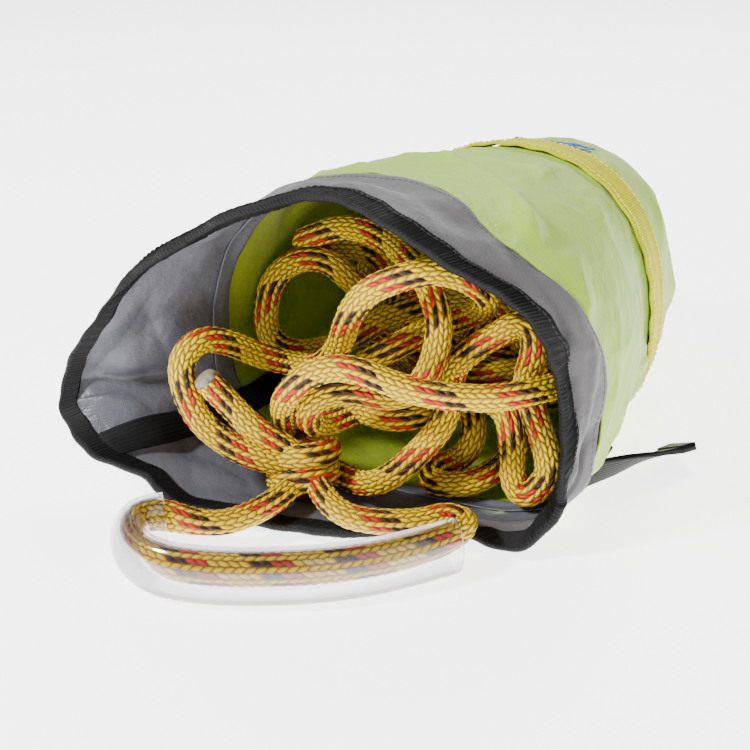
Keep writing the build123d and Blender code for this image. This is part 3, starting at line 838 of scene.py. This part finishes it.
LOOP_ROUTE = [
    (-26.5, -93, 17), (-24.5, -108, 17), (-26.5, -121, 15), (-33, -135, 13.5), (-44, -141.5, 13.5),
    (-56, -145.5, 15), (-62, -152, 15.4), (-60, -162, 15.4), (-50, -169.5, 15.4), (-34, -171.5, 15.4),
    (-13, -162.5, 15.4), (11, -145.5, 15.4), (27, -130, 15.4), (40, -111.5, 15.4), (47, -99, 16.5),
    (49, -88, 18), (39, -86, 18), (31, -95, 16), (20, -101, 15), (10, -105.5, 15), (0, -107, 16),
    (-12, -101, 17), (-21, -94, 18),
]
loop_path = nurbs_line("loop_route", LOOP_ROUTE, 14)
loop_total = run_of(loop_path)[-1]
# inside the hose the rope is pressed oval: places along it in mm, then its half sizes there
pressed = [0, 52, 66, loop_total - 95, loop_total - 80, loop_total]
loop_rope = rope_mesh("hand_loop_cord", loop_path, 0, 400, 0.5, 56, rope_yellow,
                      tall=(pressed, [5, 5, 7.0, 7.0, 5, 5]), wide=(pressed, [5, 5, 3.9, 3.9, 5, 5]))
print("hand loop mm %.0f" % loop_total)

# clear oval hose round the far side of the hand loop
HOSE_ROUTE = [(x, y, 12.5) for x, y, z in LOOP_ROUTE[5:14]] + [(48, -97, 12.5)]
hose_path = nurbs_line("hose_route", HOSE_ROUTE, 16)
hose_total = run_of(hose_path)[-1]
hose_line = at_run(hose_path, np.linspace(0, hose_total, 220))
level = level_way(np.gradient(hose_line, axis=0))
angle = 2 * np.pi * np.arange(48) / 48
HOSE_TALL, HOSE_WIDE, HOSE_WALL = 12.1, 7.4, 1.4     # outer half sizes and wall, in mm


def hose_ring(tall, wide):
    """An oval ring of the hose at every point of its line."""
    up = np.array([0.0, 0.0, tall])
    across = np.cos(angle)[None, :, None] * level[:, None] * wide
    return hose_line[:, None] + across + np.sin(angle)[None, :, None] * up[None, None]


outer, inner = hose_ring(HOSE_TALL, HOSE_WIDE), hose_ring(HOSE_TALL - HOSE_WALL, HOSE_WIDE - HOSE_WALL)
hose_points = np.concatenate([outer, inner[::-1]])
sleeve = grid_object("clear_sleeve", hose_points, None, hose, True, True)


# ---- straps and small pieces ----
def ribbon(name, centre, wide_way, width, thickness, material, steps=40, cols=12):
    """A strap along centre points, width across the directions given, in mm."""
    line = nurbs_line(name + "_route", centre, 16)
    total = run_of(line)[-1]
    line = at_run(line, np.linspace(0, total, steps))
    ways = np.array(wide_way, float)
    way = np.stack([np.interp(np.linspace(0, 1, steps), np.linspace(0, 1, len(ways)), ways[:, k])
                    for k in range(3)], -1)
    along = unit(np.gradient(line, axis=0))
    way = unit(way - along * np.sum(way * along, 1, keepdims=True))
    normal = np.cross(along, way)
    spread = np.linspace(-width / 2, width / 2, cols)
    middle = line[:, None] + way[:, None] * spread[None, :, None]
    normal = np.repeat(normal[:, None], cols, 1)
    return shell(name, middle, normal, thickness, [material], width, total, False)


strap = ribbon("tail_web", [(66, -18, 10.5), (73, -4, 10), (81, 14, 8.5), (89.5, 35, 7)],
               [(0.25, -0.15, 0.95), (0.45, -0.2, 0.8), (0.66, -0.25, 0.5), (0.72, -0.28, 0.40)], 15.0, 2.0,
               black_web)
hem = ribbon("tail_hem_web", [(86.5, 27.5, 7.4), (88, 31.3, 7.2), (89.6, 35.2, 7)],
             [(0.70, -0.27, 0.43), (0.72, -0.28, 0.40)], 15.4, 3.6, black_web)


CLOTH_W = np.concatenate([w_collar, w_body, w_base])
CLOTH = np.concatenate([collar_points, body_points, base_points])
CLOTH_NORMAL = np.concatenate([collar_normal, body_normal, base_normal])


def on_cloth(w_here, t_here, out):
    """Points on the sewn cloth in mm at these station numbers and angles, moved outwards by out."""
    row = np.clip(np.interp(w_here, CLOTH_W, np.arange(len(CLOTH_W))), 0, len(CLOTH_W) - 1.001)
    column = np.mod(t_here / (2 * np.pi) * TURNS, TURNS)
    r, c = row.astype(int), column.astype(int) % TURNS
    down, over = (row - r)[..., None], (column - np.floor(column))[..., None]
    c2 = (c + 1) % TURNS
    sheets = []
    for grid in (CLOTH, CLOTH_NORMAL):
        first = grid[r, c] * (1 - over) + grid[r, c2] * over
        second = grid[r + 1, c] * (1 - over) + grid[r + 1, c2] * over
        sheets.append(first * (1 - down) + second * down)
    return sheets[0] + sheets[1] * out


def smooth_rows(points, passes):
    """Even out each row with its neighbours; the first and last rows stay."""
    for _ in range(passes):
        points[1:-1] = (points[:-2] + 2 * points[1:-1] + points[2:]) / 4
    return points


def wall_patch(name, w_ends, t_ends, out, thickness, material, rows=40, cols=14):
    """A strip sewn to the cloth, between two station numbers and two angles."""
    w_here, t_here = np.meshgrid(np.linspace(*w_ends, rows), np.linspace(*t_ends, cols), indexing="ij")
    points = on_cloth(w_here, t_here, out)
    points = keep_up(smooth_rows(points, 4), 0.9)
    width = float(np.linalg.norm(points[0, -1] - points[0, 0]))
    length = float(run_of(points[:, cols // 2])[-1])
    return shell(name, points, normals_of(points, False), thickness, [material], width, length, False)


inner_strap = wall_patch("inner_strap_web", (0.30, 2.9), (math.radians(207), math.radians(218)), -2.0, 1.5,
                         black_web)
lining_tape = wall_patch("seam_tape_cloth", (SEAM_W - 0.16, SEAM_W + 0.05), (0.0, 2 * math.pi), -1.3, 0.6,
                         collar_in, 12, 400)
anchor_patch = wall_patch("strap_anchor_web", (w_at_y(-31), w_at_y(-17)),
                          (math.radians(312), math.radians(328)), 1.2, 1.3, black_web, 12, 12)
lap_rows = np.arange(330, 352)
lap_middle = tape_points[lap_rows].mean(1, keepdims=True)
lap_points = lap_middle + (tape_points[lap_rows] - lap_middle) * 1.12
lap_uv = tape_uv[lap_rows[0]:lap_rows[-1] + 2]
lap = grid_object("binding_lap_web", lap_points, lap_uv, black_web, False, True, True)
prints = []
for k in range(3):
    centre_w = float(w_at_y(70 + 5.5 * k))
    t_line = np.linspace(math.radians(72), math.radians(110), 60)
    wave_w = centre_w + 0.045 * np.sin(t_line * 26 + 1.3 * k)
    width_w = 0.028 * (1.15 + np.sin(t_line * 13 + k))
    w_here = np.stack([wave_w + width_w * s for s in np.linspace(-1, 1, 6)])
    t_here = np.repeat(t_line[None], 6, 0)
    points = smooth_rows(on_cloth(w_here, t_here, 0.75), 3)
    prints.append(shell("print_wave_%d" % k, points, normals_of(points, False), 0.35, [blue], 55, 5, False))


# ---- hidden pieces: floating foam, the anchor, the anchor knot ----
ANCHOR_X, ANCHOR_Z, WRAP_R = -5, 57, 5.5


def ring_block(name, y_low, y_high, inset, hole, material):
    """A thick slab that fills the bag between two places, with a round hole."""
    t = 2 * np.pi * np.arange(96) / 96
    edges, holes = [], []
    for y in (y_low, y_high):
        edge = ring(np.full_like(t, w_at_y(y)), t, inset)
        edge[:, 1] = y
        edges.append(edge)
        hole_line = (ANCHOR_X + hole * np.cos(t), np.full_like(t, y), ANCHOR_Z + hole * np.sin(t))
        holes.append(np.stack(hole_line, -1))
    return grid_object(name, np.stack(edges + holes[::-1]), None, material, True, True, smooth=False)


float_block = ring_block("foam_block", 90.4, 105.6, 7.6, 14.0, foam)
tab_line = [(ANCHOR_X, y, ANCHOR_Z) for y in (115.2, 117.0, 119.0)]
tab = ribbon("anchor_web", tab_line, [(1, 0, 0), (1, 0, 0)], 19, 8, black_web, 8, 12)
anchor_line = [(ANCHOR_X + WRAP_R * math.cos(9 * part), 93 + 18 * part,
                ANCHOR_Z + WRAP_R * math.sin(9 * part)) for part in np.linspace(0, 1, 30)]
anchor_wrap = rope_mesh("anchor_wraps", nurbs_line("anchor_route", anchor_line, 6), 0, 300, 0.9, 30,
                        rope_shade_painted, radius=4.6)

# ---- whipped end of the tail ----
side = tail_way.orthogonal().normalized()
other = tail_way.cross(side)
rows = [(-0.6, 5.05), (0.6, 5.1), (1.8, 4.7), (2.6, 3.9), (3.1, 2.4), (3.2, 0.6)]
tip = np.zeros((len(rows), 40, 3))
for r, (out, size) in enumerate(rows):
    for c in range(40):
        angle_c = 2 * math.pi * c / 40
        rough = 1 + 0.05 * math.sin(7 * angle_c) + 0.04 * math.sin(13 * angle_c + r)
        around = side * math.cos(angle_c) + other * math.sin(angle_c)
        tip[r, c] = tail_end + tail_way * out + around * size * rough
tail_tip = grid_object("tail_tip", tip, None, sealed, False, True, True)

# ---- what each piece stands for ----
PIECES = [
    (collar, "bag", "collar_cloth", ["collar"]),
    (body, "bag", "body_cloth", ["body_panel"]),
    (base, "bag", "body_cloth", ["base_cuff"]),
    (disc, "bag", "body_cloth", ["base_disc"]),
    (band, "bag", "yellow_webbing", ["yellow_band"]),
    (tape, "bag", "black_webbing", ["rim_binding"]),
    (band_rows[0], "bag", "yellow_thread", ["band_stitching"]),
    (band_rows[1], "bag", "yellow_thread", []),
    (seam_stitches, "bag", "grey_thread", ["collar_seam_stitching"]),
    (rim_stitches, "bag", "black_thread", ["rim_stitching"]),
    (main_rope, "bag", "rope", ["rope_coil", "rope_line"]),
    (wraps, "bag", "rope", ["knot"]),
    (rope_tail, "bag", "rope", ["rope_tail"]),
    (tail_tip, "bag", "sealed_end", ["tail_whipping"]),
    (loop_rope, "hand_loop", "rope", ["hand_loop_rope"]),
    (sleeve, "hand_loop", "clear_hose", ["grip_sleeve"]),
    (strap, "strap_end", "black_webbing", ["tail_strap"]),
    (hem, "strap_end", "black_webbing", ["tail_hem"]),
    (inner_strap, "bag", "black_webbing", ["inner_strap"]),
    (lining_tape, "bag", "collar_cloth", ["seam_tape"]),
    (anchor_patch, "bag", "black_webbing", ["strap_anchor"]),
    (lap, "bag", "black_webbing", ["binding_lap"]),
    (float_block, "bag", "foam", ["foam_float"]),
    (tab, "bag", "black_webbing", ["anchor_tab"]),
    (anchor_wrap, "bag", "rope", ["anchor_knot"]),
    (prints[0], "bag", "blue_print", ["print_patch"]),
    (prints[1], "bag", "blue_print", []),
    (prints[2], "bag", "blue_print", []),
]
for piece, rides_on, slot, stands_for in PIECES:
    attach(piece, rides_on)
    if stands_for:
        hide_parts(*stands_for)

# ---- floor and light ----
floor_mesh = bpy.data.meshes.new("floor")
FLOOR = 15.0             # half of the floor's side, in metres
floor_mesh.from_pydata([(-FLOOR, -FLOOR, 0), (FLOOR, -FLOOR, 0), (FLOOR, FLOOR, 0), (-FLOOR, FLOOR, 0)], [],
                       [(0, 1, 2, 3)])
floor_white = plain_material("floor_white", (0.95, 0.95, 0.95, 1), 0.9, 0, 0, 0, 0.0)
floor_shader = floor_white.node_tree.nodes["Principled BSDF"].inputs
floor_shader["Emission Color"].default_value = (1, 1, 1, 1)
floor_shader["Emission Strength"].default_value = 3.4
floor = new_object("floor", floor_mesh, floor_white)
world = bpy.data.worlds.new("studio")
world.use_nodes = True
sky = world.node_tree.nodes["Background"].inputs
sky["Color"].default_value = (1.0, 1.0, 1.0, 1.0)
sky["Strength"].default_value = 0.25
bpy.context.scene.world = world


def area_light(name, place, aim, size, energy, color=(1, 1, 1)):
    data = bpy.data.lights.new(name, "AREA")
    data.shape = "SQUARE"
    data.size = size
    data.energy = energy
    data.color = color
    lamp = bpy.data.objects.new(name, data)
    lamp.location = place
    lamp.rotation_euler = (Vector(aim) - Vector(place)).to_track_quat("-Z", "Y").to_euler()
    bpy.context.scene.collection.objects.link(lamp)


area_light("key", (-0.45, -0.75, 0.85), (0, -0.05, 0.05), 0.16, 19.0)
area_light("back", (-0.25, 0.75, 1.1), (0, 0.0, 0.08), 0.45, 14.0)
area_light("fill", (1.0, -0.6, 0.6), (0, 0.0, 0.05), 0.9, 3.0)
